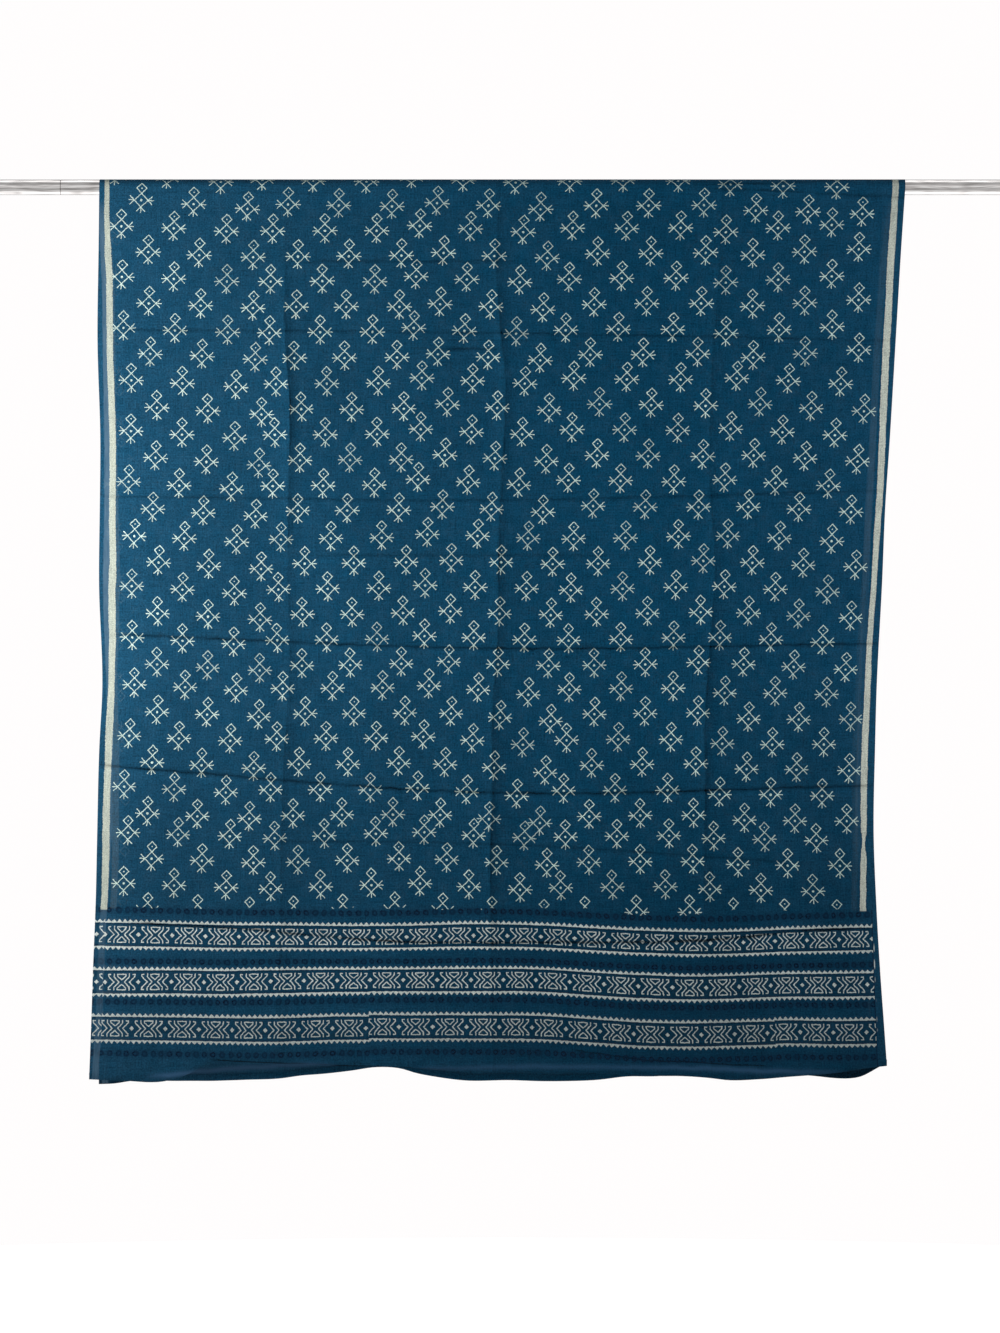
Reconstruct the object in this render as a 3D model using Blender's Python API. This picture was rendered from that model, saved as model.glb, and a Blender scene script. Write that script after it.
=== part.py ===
"""A printed cotton dupatta, folded in half over a plain chrome rod.

Metres, +Z up. The rod lies along X with its axis through the origin, at the middle of its length. The front
fall hangs on the -Y side and the back fall on the +Y side. "Drop" is the depth below the rod's axis, and
"across" runs from 0 at the left selvedge to 1 at the right one.
"""

import math

import bmesh
import bpy
import numpy as np

# Rod
ROD_DIAMETER = 0.019
ROD_LENGTH = 1.5
ROD_SIDES = 48
ROD_CHAMFER = 0.0006
JOINT_AT = -0.552
JOINT_WIDTH = 0.0008
JOINT_DEPTH = 0.0003

# Cloth
THICKNESS = 0.0015
GAP = 0.0003
TURN_STEPS = 10
COLUMN_STEP = 0.05
ROW_STEP = 0.052
CREASE_HALF_WIDTH = 0.006
CREASE_HEIGHT = 0.0012
ROLL_START = 0.05
ROLL_FULL = 0.75

# The turn's middle surface, far enough out for its flat facets to clear the rod by the gap.
FACET_FACTOR = math.cos(math.pi / (2 * TURN_STEPS))
TURN_RADIUS = (ROD_DIAMETER / 2 + GAP + THICKNESS / 2) / FACET_FACTOR

# The selvedges' distance from the rod's middle, at each drop.
SELVEDGES = np.array(
    [
        # drop, front left, front right, back left, back right
        (0.000, -0.5030, 0.5040, -0.5030, 0.5040),
        (0.070, -0.5040, 0.4985, -0.5030, 0.4930),
        (0.190, -0.5055, 0.4910, -0.5030, 0.4820),
        (0.320, -0.5020, 0.4830, -0.5010, 0.4735),
        (0.490, -0.5045, 0.4752, -0.4990, 0.4650),
        (0.630, -0.4995, 0.4675, -0.4965, 0.4580),
        (0.700, -0.5020, 0.4652, -0.4950, 0.4555),
        (0.810, -0.5070, 0.4636, -0.4950, 0.4550),
        (0.890, -0.5085, 0.4670, -0.4965, 0.4580),
        (0.980, -0.5120, 0.4725, -0.5000, 0.4640),
        (1.050, -0.5155, 0.4775, -0.5040, 0.4700),
        (1.130, -0.5175, 0.4830, -0.5065, 0.4760),
    ]
)

# The two hems' drops. They are cut by hand, so neither is straight.
HEMS = np.array(
    [
        # across, front, back
        (0.000, 1.1135, 1.1230),
        (0.050, 1.1152, 1.1228),
        (0.100, 1.1153, 1.1205),
        (0.137, 1.1100, 1.1203),
        (0.175, 1.1010, 1.1200),
        (0.245, 1.0955, 1.1165),
        (0.315, 1.0966, 1.1095),
        (0.350, 1.0975, 1.1040),
        (0.390, 1.0984, 1.1005),
        (0.420, 1.1000, 1.1095),
        (0.455, 1.1030, 1.1175),
        (0.515, 1.1055, 1.1202),
        (0.600, 1.1062, 1.1200),
        (0.665, 1.1072, 1.1145),
        (0.715, 1.1103, 1.1135),
        (0.795, 1.1141, 1.1110),
        (0.840, 1.1134, 1.1100),
        (0.880, 1.1103, 1.1110),
        (0.935, 1.1065, 1.1165),
        (0.960, 1.1022, 1.1160),
        (1.000, 1.0969, 1.1020),
    ]
)

# Soft upright rolls in each fall, which stand out from the rod's plane as they near the hem.
FRONT_ROLLS = (
    # across at the rod, across at the hem, half width, rise at the hem
    (0.10, 0.08, 0.15, 0.010),
    (0.42, 0.41, 0.12, 0.004),
    (0.70, 0.78, 0.18, 0.009),
    (1.02, 0.97, 0.08, -0.003),
)
BACK_ROLLS = (
    # across at the rod, across at the hem, half width, rise at the hem
    (0.16, 0.12, 0.16, 0.012),
    (0.50, 0.54, 0.15, 0.009),
    (0.84, 0.93, 0.10, 0.010),
)

# The cloth was stored folded in four across its width, and over and over along its length.
UPRIGHT_CREASES = (0.2385, 0.5100, 0.7810)
LEVEL_CREASES = (
    # drop at the left selvedge, in the middle, at the right selvedge
    (0.178, 0.182, 0.192),
    (0.387, 0.392, 0.378),
    (0.559, 0.577, 0.570),
    (0.722, 0.757, 0.748),
)


def smooth(at, places, values):
    """A smooth curve through a table's values, read at one place or at many."""
    slopes = np.gradient(values, places)
    at = np.clip(at, places[0], places[-1])
    i = np.clip(np.searchsorted(places, at) - 1, 0, len(places) - 2)
    width = places[i + 1] - places[i]
    t = (at - places[i]) / width
    start = (2 * t**3 - 3 * t**2 + 1) * values[i] + (t**3 - 2 * t**2 + t) * width * slopes[i]
    end = (3 * t**2 - 2 * t**3) * values[i + 1] + (t**3 - t**2) * width * slopes[i + 1]
    return start + end


def ease(value, low, high):
    """0 below low, 1 above high and a smooth step between."""
    t = np.clip((value - low) / (high - low), 0, 1)
    return t * t * (3 - 2 * t)


def rise(across, drop, rolls):
    """How far the soft rolls lift a fall out of the rod's plane."""
    down = drop / HEMS[:, 1].max()
    total = 0.0
    for at_rod, at_hem, half_width, height in rolls:
        offset = (across - at_rod - (at_hem - at_rod) * down) / half_width
        total += height * math.exp(-(offset**2))
    return total * float(ease(drop, ROLL_START, ROLL_FULL))


def column_places():
    """(across, crease height) of each upright grid line: three at each crease and even ones between."""
    half = CREASE_HALF_WIDTH
    keys = [0.0]
    for crease in UPRIGHT_CREASES:
        keys += [crease - half, crease, crease + half]
    keys.append(1.0)
    places = [keys[0]]
    for low, high in zip(keys, keys[1:]):
        count = max(1, round((high - low) / COLUMN_STEP))
        places += [low + (high - low) * (k + 1) / count for k in range(count)]
    return [(at, CREASE_HEIGHT if at in UPRIGHT_CREASES else 0.0) for at in places]


def row_places(hem):
    """(drop as a function of across, crease height) of each level grid line below the rod, down to the hem."""

    def level(drops, offset):
        left, middle, right = drops
        return lambda across: offset + np.interp(across, (0.0, 0.5, 1.0), (left, middle, right))

    def between(upper, lower, share):
        return lambda across: upper(across) * (1 - share) + lower(across) * share

    keys = [(level((0.0, 0.0, 0.0), 0.0), 0.0)]
    for drops in LEVEL_CREASES:
        keys.append((level(drops, -CREASE_HALF_WIDTH), 0.0))
        keys.append((level(drops, 0.0), CREASE_HEIGHT))
        keys.append((level(drops, CREASE_HALF_WIDTH), 0.0))
    keys.append((lambda across: smooth(across, HEMS[:, 0], HEMS[:, hem]), 0.0))
    rows = []
    for (upper, _), (lower, height) in zip(keys, keys[1:]):
        count = max(1, round((lower(0.5) - upper(0.5)) / ROW_STEP))
        rows += [(between(upper, lower, (k + 1) / count), 0.0) for k in range(count - 1)]
        rows.append((lower, height))
    return rows


def fall_point(across, drop, lift, side):
    """A point of the cloth's middle surface in a fall. side is -1 for the front fall and 1 for the back."""
    left, right = (1, 2) if side < 0 else (3, 4)
    low = float(smooth(drop, SELVEDGES[:, 0], SELVEDGES[:, left]))
    high = float(smooth(drop, SELVEDGES[:, 0], SELVEDGES[:, right]))
    rolls = FRONT_ROLLS if side < 0 else BACK_ROLLS
    depth = TURN_RADIUS + lift + rise(across, drop, rolls)
    return (low + across * (high - low), side * depth, -drop)


def turn_point(across, angle, lift):
    """A point of the middle surface where it goes over the rod. The angle runs from 0 in front to pi behind."""
    left, right = SELVEDGES[0, 1], SELVEDGES[0, 2]
    radius = TURN_RADIUS + lift
    return (left + across * (right - left), -radius * math.cos(angle), radius * math.sin(angle))


def cloth_rows(columns):
    """The middle surface's points, row by row, from the front hem over the rod to the back hem."""
    front = []
    for drop_at, height in row_places(1):
        front.append([fall_point(q, float(drop_at(q)), max(height, lift), -1) for q, lift in columns])
    turn = []
    for step in range(TURN_STEPS + 1):
        angle = math.pi * step / TURN_STEPS
        turn.append([turn_point(q, angle, lift) for q, lift in columns])
    back = []
    for drop_at, height in row_places(2):
        back.append([fall_point(q, float(drop_at(q)), max(height, lift), 1) for q, lift in columns])
    return front[::-1] + turn + back


def make_material(name, colour, roughness, metallic):
    """A plain Principled material."""
    material = bpy.data.materials.new(name)
    material.use_nodes = True
    shader = material.node_tree.nodes["Principled BSDF"]
    shader.inputs["Base Color"].default_value = (*colour, 1.0)
    shader.inputs["Roughness"].default_value = roughness
    shader.inputs["Metallic"].default_value = metallic
    return material


def add_object(name, bm, material):
    """Puts the finished shape in the scene, with its faces pointing out."""
    bmesh.ops.recalc_face_normals(bm, faces=bm.faces[:])
    mesh = bpy.data.meshes.new(name)
    bm.to_mesh(mesh)
    bm.free()
    mesh.materials.append(material)
    mesh.shade_smooth()
    obj = bpy.data.objects.new(name, mesh)
    bpy.context.scene.collection.objects.link(obj)
    return obj


def make_cloth(material):
    """The dupatta: its middle surface as a grid, thickened evenly to both sides."""
    bm = bmesh.new()
    rows = [[bm.verts.new(point) for point in row] for row in cloth_rows(column_places())]
    for lower, upper in zip(rows, rows[1:]):
        for a, b, c, d in zip(lower, lower[1:], upper[1:], upper):
            bm.faces.new((a, b, c, d))
    obj = add_object("dupatta", bm, material)
    solidify = obj.modifiers.new("thickness", "SOLIDIFY")
    solidify.thickness = THICKNESS
    solidify.offset = 0.0
    solidify.use_even_offset = True
    return obj


def make_rod(material):
    """The rod: a profile with chamfered ends and a shallow joint groove, spun about the X axis."""
    radius = ROD_DIAMETER / 2
    end = ROD_LENGTH / 2
    groove = JOINT_WIDTH / 2
    profile = (
        (-end, radius - ROD_CHAMFER),
        (-end + ROD_CHAMFER, radius),
        (JOINT_AT - groove, radius),
        (JOINT_AT - groove, radius - JOINT_DEPTH),
        (JOINT_AT + groove, radius - JOINT_DEPTH),
        (JOINT_AT + groove, radius),
        (end - ROD_CHAMFER, radius),
        (end, radius - ROD_CHAMFER),
    )
    bm = bmesh.new()
    points = [bm.verts.new((x, 0.0, r)) for x, r in profile]
    edges = [bm.edges.new(pair) for pair in zip(points, points[1:])]
    bmesh.ops.spin(
        bm,
        geom=points + edges,
        cent=(0.0, 0.0, 0.0),
        axis=(1.0, 0.0, 0.0),
        angle=2 * math.pi,
        steps=ROD_SIDES,
        use_merge=True,
    )
    open_edges = [edge for edge in bm.edges if edge.is_boundary]
    bmesh.ops.holes_fill(bm, edges=open_edges, sides=ROD_SIDES)
    obj = add_object("rod", bm, material)
    obj.data.set_sharp_from_angle(angle=math.radians(30))
    return obj


def main():
    for obj in list(bpy.data.objects):
        bpy.data.objects.remove(obj)
    cotton = make_material("printed_cotton", (0.012, 0.060, 0.110), 0.85, 0.0)
    chrome = make_material("chrome", (0.80, 0.79, 0.78), 0.12, 1.0)
    make_cloth(cotton)
    make_rod(chrome)


main()
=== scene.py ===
"""Looks of the printed dupatta on its rod: the cloth as a thin sheet with its print, folds and creases, and
the chrome rod.

Metres, +Z up, the frame's own axes. "Drop" is the depth below the rod's axis, "across" runs from 0 at the
left selvedge to 1 at the right one, and print sizes are in millimetres on the flat cloth.
"""

import math
from functools import partialmethod

import bpy
import numpy as np
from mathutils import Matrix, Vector


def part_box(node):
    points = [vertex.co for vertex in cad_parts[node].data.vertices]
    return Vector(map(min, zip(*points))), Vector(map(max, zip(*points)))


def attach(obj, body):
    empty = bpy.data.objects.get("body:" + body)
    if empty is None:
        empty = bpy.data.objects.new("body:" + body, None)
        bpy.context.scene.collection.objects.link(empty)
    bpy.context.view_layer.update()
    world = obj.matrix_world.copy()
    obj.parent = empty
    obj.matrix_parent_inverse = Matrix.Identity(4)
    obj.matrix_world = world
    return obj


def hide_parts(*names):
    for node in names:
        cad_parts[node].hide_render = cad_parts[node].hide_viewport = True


# ---- Sizes of the hanging cloth, close to the CAD model's ----

CLOTH_WIDTH = 1.0
CLOTH_LENGTH = 2.27
MILLIMETRE = 0.001
CLEARANCE = 0.0004
# Drops between which the rolls and waves grow to their full height.
ROLL_START = 0.05
ROLL_FULL = 0.75
WAVES_FULL = 0.35
WAVE_COUNT = 9
WAVE_HEIGHT = 0.0011
# Ripples across the cloth's width, and down each metre of it.
WAVES_ACROSS = (2.0, 7.5)
WAVES_DOWN = (-2.6, 2.6)
FRONT_SEED = 3
BACK_SEED = 8
# The mesh: its step, the hem's place among its even rows, and the steps over the rod.
GRID_STEP = 0.0066
HEM_HOME = 1.11
TURN_STEPS = 14
# The share of the flat length that is behind the rod.
BACK_SHARE = 0.505

SELVEDGES = np.array([
    # drop, front left, front right, back left, back right
    (0, -0.5034, 0.503, -0.5034, 0.503),
    (0.07, -0.5041, 0.4982, -0.503, 0.493),
    (0.19, -0.5055, 0.491, -0.503, 0.482),
    (0.32, -0.5018, 0.4833, -0.501, 0.4738),
    (0.4, -0.5024, 0.478, -0.5, 0.469),
    (0.49, -0.5033, 0.4742, -0.499, 0.464),
    (0.63, -0.4992, 0.467, -0.4965, 0.4575),
    (0.7, -0.5028, 0.4652, -0.495, 0.4555),
    (0.81, -0.5055, 0.4636, -0.495, 0.455),
    (0.89, -0.5072, 0.4667, -0.4965, 0.4578),
    (0.98, -0.5107, 0.4718, -0.5, 0.4636),
    (1.05, -0.513, 0.4768, -0.503, 0.4694),
    (1.13, -0.5163, 0.4826, -0.506, 0.4758),
])

HEMS = np.array([
    # across, front, back
    (0, 1.1135, 1.1218), (0.02, 1.1143, 1.1211), (0.04, 1.1148, 1.1182), (0.1, 1.115, 1.1181),
    (0.125, 1.1075, 1.118), (0.145, 1.0975, 1.118), (0.165, 1.0915, 1.1174), (0.19, 1.092, 1.1165),
    (0.237, 1.094, 1.1146), (0.262, 1.0948, 1.1112), (0.29, 1.0958, 1.109), (0.325, 1.0976, 1.105),
    (0.36, 1.0983, 1.1002), (0.39, 1.099, 1.102), (0.41, 1.1003, 1.1078), (0.435, 1.102, 1.1125),
    (0.47, 1.1034, 1.117), (0.53, 1.1052, 1.1168), (0.57, 1.1058, 1.1181), (0.6, 1.1062, 1.118),
    (0.64, 1.1066, 1.1165), (0.68, 1.108, 1.112), (0.715, 1.1094, 1.1118), (0.745, 1.1094, 1.1097),
    (0.782, 1.1118, 1.1102), (0.802, 1.1142, 1.1106), (0.84, 1.1134, 1.1098), (0.88, 1.1103, 1.1098),
    (0.915, 1.1078, 1.1118), (0.942, 1.1052, 1.1146), (0.958, 1.1024, 1.115), (0.972, 1.1006, 1.1132),
    (1, 1.0975, 1.0995),
])

FRONT_ROLLS = (
    # across at the rod, across at the hem, half width, rise at the hem
    (0.10, 0.08, 0.15, 0.010),
    (0.42, 0.41, 0.12, 0.004),
    (0.70, 0.78, 0.18, 0.009),
    (1.02, 0.97, 0.08, -0.003),
)
BACK_ROLLS = (
    # across at the rod, across at the hem, half width, rise at the hem
    (0.16, 0.12, 0.16, 0.012),
    (0.50, 0.54, 0.15, 0.009),
    (0.84, 0.93, 0.10, 0.010),
)

CURLS = np.array([
    # across, how far the front hem turns in, how far the back hem does
    (0, 0.002, 0.001), (0.12, 0.001, 0.002), (0.3, 0.0045, 0.001), (0.48, 0.005, 0.003),
    (0.66, 0.003, 0.001), (0.84, 0, 0), (1, 0.002, 0),
])
# The curl begins above the hem, and would be full just below it.
CURL_ABOVE = 0.055
CURL_BELOW = 0.010
# How the hem turns in and up behind the cloth: inwards, upwards.
HEM_TURN = ((0.0003, -0.0004), (0.0008, -0.0002), (0.0010, 0.0020), (0.0010, 0.0075))

# ---- Creases of the stored cloth ----

# Each upright crease wanders a little. Its height is in millimetres, and a ridge faces away from the rod.
UPRIGHT_CREASES = (
    # home, then drops with the sideways shift as a share of the width, and the height
    (0.2385, (
        (0.00, -0.005, 0.1), (0.10, -0.005, 0.4), (0.19, -0.002, 1.1), (0.25, 0.002, 1.5),
        (0.37, 0.002, 1.3), (0.45, 0.003, 0.6), (0.60, 0.004, 0.6), (0.74, 0.000, 0.6),
        (0.90, -0.001, 0.5), (1.13, 0.000, 0.2),
    )),
    (0.5100, (
        (0.00, -0.013, 0.4), (0.11, -0.0115, 0.9), (0.18, -0.004, 1.2), (0.24, 0.0025, 1.2),
        (0.35, 0.001, 0.9), (0.45, 0.0002, 1.2), (0.57, 0.0004, 1.0), (0.64, -0.004, 0.9),
        (0.76, -0.001, 1.3), (0.83, -0.003, 1.3), (0.95, -0.003, 0.6), (1.13, -0.003, 0.3),
    )),
    (0.7810, (
        (0.00, -0.006, 0.3), (0.14, -0.006, 0.6), (0.19, -0.008, 0.6), (0.28, -0.009, 0.7),
        (0.38, -0.004, 0.7), (0.46, 0.005, 0.8), (0.57, 0.0025, 1.0), (0.66, -0.0005, 1.2),
        (0.75, 0.002, 1.1), (0.88, 0.000, 0.3), (1.13, 0.000, 0.2),
    )),
)

LEVEL_CREASES = (
    # drops at even places from the left selvedge to the right one, height, first across, last across
    ((0.001, 0.001, 0.001, 0.002, 0.0135), 0.8, 0.76, 1.0),
    ((0.007, 0.007, 0.008), 0.3, 0.06, 0.28),
    ((0.093, 0.0925, 0.092), 0.7, 0.27, 0.50),
    ((0.178, 0.182, 0.192), 0.65, 0.05, 0.98),
    ((0.202, 0.202, 0.203), 1.0, 0.44, 0.485),
    ((0.386, 0.391, 0.379), 0.62, 0.02, 0.99),
    ((0.460, 0.460, 0.461), 0.5, 0.27, 0.64),
    ((0.558, 0.576, 0.570), 1.15, 0.03, 0.99),
    ((0.722, 0.756, 0.7475), 1.25, 0.02, 0.99),
    ((0.818, 0.820, 0.850), 0.58, 0.25, 0.88),
    ((0.916, 0.921, 0.927, 0.936, 0.9425, 0.943, 0.9427, 0.9425, 0.9388, 0.929, 0.9255), 1.45, 0.06, 0.97),
    ((1.050, 1.066, 1.088), 0.35, 0.05, 0.62),
)

# The mesh's rows follow the level creases at least this high. The fainter ones lie between its even rows.
FOLLOWED_HEIGHT = 0.6
# Drops between which creases grow, and how far a level one fades out past and within its end.
CREASE_START = -0.01
CREASE_FULL = 0.12
CREASE_END_OUTER = 0.04
CREASE_END_INNER = 0.02
# An upright crease is a narrow ridge on a broad swell, and a level one a trough. Shares are of the height.
RIDGE_REACH = 0.007
RIDGE_SHARE = 1.1
SWELL_REACH = 0.022
SWELL_SHARE = 1.7
TROUGH_REACH = 0.006
TROUGH_SHARE = 1.3
# The mesh's extra lines beside each crease.
CREASE_OFFSETS = (-0.008, -0.004, -0.0016, 0.0, 0.0016, 0.004, 0.008)

# ---- The print ----

# The printer sets an 18-motif block down 5 times across and 10 times along, each a little off and tilted.
BLOCK_COLUMNS = (0.0, 64.0, 129.5)
BLOCK_ODD_COLUMNS = (32.5, 96.0, 162.0)
BLOCK_ROWS = 6
ROW_PITCH = 31.7
BLOCKS = (
    # for each of five: millimetres from the left selvedge, the first motif's drop, degrees of tilt and lean
    ((20, -145, 5.2, 0), (202, -137, 1.3, 0), (388, -140, 3.5, 0), (584, -135, 0.0, 0),
     (783, -130, 1.8, 0)),
    ((28, 49, 2.8, 1.8), (217, 55.5, -0.3, -1), (399, 49.5, 3.1, -1.7), (590, 52, -0.2, -1.9),
     (780, 56.5, -3.6, 3.3)),
    ((41, 242, 3.8, -2.3), (223, 247, -0.4, -1.4), (407, 239, 3.2, -1.3), (598, 240, 0.7, -1.2),
     (802, 239, 3.2, -3.8)),
    ((44, 436, 3.5, -2.0), (231, 440, -0.8, -2.4), (418, 434, 2.2, -1.2), (604, 440, -1.4, -1.3),
     (801, 436, 2.7, -2.7)),
    ((42, 622, 3.0, -3.8), (233, 626.5, -0.4, -5), (422, 623.5, 4.5, -4.8), (603, 627.5, -0.6, -1.3),
     (803, 632, 0.6, -1)),
    ((40, 806, 2.2, -4.1), (229, 813, -2.2, -4.8), (421, 806, 3.4, -5.5), (602, 812, -0.7, -5.5),
     (793.5, 813.7, 0.9, -6)),
)
BLOCK_STRETCH = (1.012, 0.997, 0.994, 1.034, 1.022)
BACK_BLOCK_ROWS = 4
BLOCK_PITCH = 191.0
# The back fall's own blocks are guessed: the most that each is moved across and down, tilted and leant.
BACK_BLOCK_SEED = 5
BACK_SCATTER = (6.0, 4.0, 3.0, 3.0)
# The most that one motif is moved and turned, its middle above the large diamond's, and the ink it may lack.
MOTIF_SEED = 11
MOTIF_SCATTER = 0.6
MOTIF_TURN = 1.5
MOTIF_MIDDLE = 3.0
MOST_INK_LOST = 0.25
FACES_AT_ONCE = 4096

# The three figured bands and the four rows of rings at each end, as drops on the front fall.
BAND_CENTRES = (933.4, 992.2, 1050.9)
RING_ROWS = (902.9, 966.7, 1017.1, 1082.2)
BANDS = np.array([
    # across, how far the first, second and third bands are printed below their drops, and how far
    # the first figure of each is to the left of its place, in millimetres
    (0, -0.9, 0.2, -1.2, -34.9, -37.1, -30.3),
    (0.04, -0.5, 0.1, -0.7, -35, -37, -30.1),
    (0.1, 0.7, -0.4, 0.2, -35.6, -36.3, -30),
    (0.16, 2.3, 0.5, 1.4, -35.7, -34.6, -29.6),
    (0.23, 2.6, -0.6, 2.1, -36.8, -34.8, -28.3),
    (0.31, 3.6, -1.6, -0.3, -37.3, -34.2, -28.3),
    (0.4, 3.4, -2.6, -2.4, -37.5, -33.4, -27.3),
    (0.48, 1.4, -2.7, -2.3, -38.4, -34.4, -27.8),
    (0.56, 2.6, -2.4, -1.4, -39.2, -32, -25.5),
    (0.64, 6.6, 2.6, 3.3, -40.6, -33.3, -26.4),
    (0.7, 9.4, 5.7, 7, -41.6, -34.3, -26.2),
    (0.75, 10.8, 7.5, 7.6, -42.5, -35.4, -26.6),
    (0.79, 11.2, 7.3, 6.9, -43.2, -35.3, -26.2),
    (0.84, 10, 5.8, 5.4, -42.4, -34.3, -25.4),
    (0.88, 8.3, 4.6, 4, -40.2, -31.2, -24.2),
    (0.94, 6.9, 4.5, 4.7, -38.3, -28.7, -23.1),
    (1, 6, 4, 4.4, -37.8, -28.4, -23),
])
# Where one setting of a band's block doesn't meet the last: the band, millimetres across, the step up there.
BAND_JOGS = ((1, 352.0, 1.0), (2, 352.0, 2.3), (2, 861.0, 1.5))
JOG_REACH = 45.0
BAND_PARTINGS = (958.0, 1026.0)
BAND_BLOCK = 169.6
BAND_FIRST_JOIN = 12.0
# How far the setting at the far left is slipped to the left.
FIRST_SLIP = 11.0
BAND_SETTINGS = 9
BAND_SCATTER = 0.3
BAND_SEED = 7
FIGURE_PITCH = 42.4
# The bare margin at the right end: its width, how it widens with the drop, and from where.
BAND_MARGIN = 6.0
BAND_MARGIN_SLOPE = 0.03
BAND_MARGIN_FROM = 897.0
# The drops at which the stripes and the motifs end, and how much lower they end at the right.
STRIPE_END = 902.0
MOTIF_END = 899.5
END_SLOPE = 2.5
# One block is printed low: from and to in millimetres across, and the drop at which it ends.
MISPLACED_BLOCK = (671.0, 777.0, 909.0)
MISPLACED_FADE = 4.0
STRIPES = np.array([
    # drop, millimetres from the left selvedge to its stripe's middle, the same at the right, half widths
    (-20, 9.3, 12, 2.8, 3.7),
    (10, 9.8, 12.2, 2.9, 3.8),
    (35, 9.6, 11.8, 3, 3.9),
    (60, 10.8, 11.9, 3.5, 4.2),
    (85, 11.8, 11.9, 4, 4.4),
    (110, 13.9, 11.9, 4, 4.2),
    (160, 15.3, 11.2, 3.9, 4.2),
    (197, 15.5, 11.4, 3.9, 4.4),
    (272, 15.3, 10.6, 4, 4.3),
    (310, 15.6, 9.6, 4, 4.1),
    (385, 16, 7.8, 4, 4),
    (422, 16.4, 8.8, 4.1, 4),
    (460, 17.7, 9.8, 4, 3.7),
    (484, 17.4, 10.3, 4.8, 3.6),
    (500, 16.6, 10.6, 4.3, 3.5),
    (535, 15.4, 11.5, 4.5, 3.4),
    (560, 15, 11.9, 4.3, 3.4),
    (585, 13.2, 12, 4.1, 3.5),
    (610, 12, 11.6, 4.1, 3.9),
    (647, 11.5, 12, 4.4, 3.7),
    (685, 11.9, 13.1, 4.6, 4.1),
    (722, 12.2, 13.3, 4.3, 4.1),
    (760, 11.4, 13, 4.4, 4.1),
    (797, 11.3, 12.6, 4.6, 3.8),
    (835, 11.8, 13.6, 4.6, 3.6),
    (872, 11.4, 15.8, 4.3, 3.8),
    (900, 10.8, 17.5, 4.2, 3.8),
])
# Distances from a stripe are scaled so that each half width in the table reads as this one.
STRIPE_HALF = 4.2
BACK_STRIPE_SHIFT = -1.0
# The right stripe is pinched thin at one drop.
RIGHT_PINCH = 1.2
RIGHT_PINCH_AT = 819.0
RIGHT_PINCH_REACH = 9.0

# Each fall carries the other's stripes, painted faintly as the light that shows through the thin cloth.
GHOSTS = np.array([
    # drop, millimetres from the left selvedge to the ghost's middle, its strength, the same at the right
    (16, 4.2, 0, 22, 0),
    (35, 4.2, 0.7, 22, 0.1),
    (55, 4.8, 0.8, 22, 0.1),
    (91, 7, 0.85, 22, 0.1),
    (141, 10.4, 1, 22, 0.05),
    (216, 10.8, 1, 22, 0.1),
    (303, 9.1, 1, 21.8, 0.2),
    (416, 10.2, 1, 21.4, 0.3),
    (516, 9.1, 0.9, 20.6, 0.15),
    (597, 8.4, 0.8, 20, 0.2),
    (640, 10.5, 0.5, 19.6, 0.1),
    (691, 13.4, 0.6, 19.2, 0.3),
    (803, 14.8, 0.5, 19.6, 0.2),
    (870, 12.5, 0.4, 20, 0),
    (916, 10.2, 0.45, 20, 0),
    (966, 10.1, 0.3, 20, 0),
    (1031, 9.9, 0.3, 20, 0),
    (1091, 7.8, 0.5, 20, 0),
])
GHOST_HALF = 4.2

# Painted sheen streaks and painted wrinkle shade along the hem: across, drop in millimetres, strength.
HEM_LIGHTS = np.array([
    (0, 1112, 0), (0.07, 1111, 0), (0.099, 1108.8, 0.8), (0.171, 1102.4, 0.9), (0.278, 1096.9, 0.7),
    (0.314, 1097.5, 0), (0.4, 1101, 0), (0.43, 1101.2, 0.3), (0.539, 1098.5, 0.4), (0.665, 1099, 0.35),
    (0.771, 1099.7, 0.5), (0.847, 1103.4, 0.55), (0.915, 1105.3, 0.4), (0.952, 1106, 0), (1, 1106, 0),
])
HEM_WRINKLES = np.array([
    (0, 1088, 0), (0.145, 1088.5, 0), (0.164, 1090, 0.9), (0.21, 1093.4, 1), (0.268, 1094.7, 1),
    (0.327, 1098, 1), (0.349, 1098.4, 0.8), (0.37, 1098.6, 0), (0.393, 1099.7, 0.6),
    (0.43, 1102.2, 0.6), (0.453, 1101.6, 0.5), (0.477, 1100, 0), (0.602, 1076, 0), (0.613, 1078.4, 0.7),
    (0.7, 1090.6, 0.8), (0.757, 1091.9, 0.9), (0.79, 1094.7, 0.9), (0.839, 1096.7, 0.8),
    (0.859, 1097.5, 0), (1, 1097.5, 0),
])
# Painted shadow in the back hem's corners: across and drop in millimetres where each begins and is full.
SHADOWED_CORNERS = (((42.0, 30.0), (1110.0, 1114.0)), ((880.0, 905.0), (1095.0, 1099.0)))

# The motif and the bands' figures, by their lines' half widths, corners and pitches.
STROKE_HALF = 0.52
LARGE_DIAMOND = 8.6
SMALL_DIAMOND = 6.3
SMALL_AT = 15.0
LARGE_DOT = 1.45
SMALL_DOT = 0.8
PRONG_LENGTH = 7.1
MIDDLE_PRONG_LENGTH = 6.5
DIAGONAL = 0.7071
FIGURE_PATHS = (
    ((0.0, 2.9), (5.0, 7.1), (5.5, 9.5), (0.0, 9.7)),
    ((3.5, 0.0), (9.6, 6.5), (9.7, 10.0)),
    ((9.8, 0.0), (16.7, 6.9), (16.9, 9.4), (14.2, 9.4)),
)
LOZENGE = 2.9
BAND_INNER = 14.6
STRIP_WIDTH = 1.0
LINE_INSIDE = 1.5
LINE_HALF = 0.8
LINE_STRENGTH = 0.5
TOOTH_PITCH = 6.95
TOOTH_HEIGHT = 3.5
RING_PITCH = 10.85
RING_RADIUS = 2.6
RING_HALF = 1.45
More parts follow.
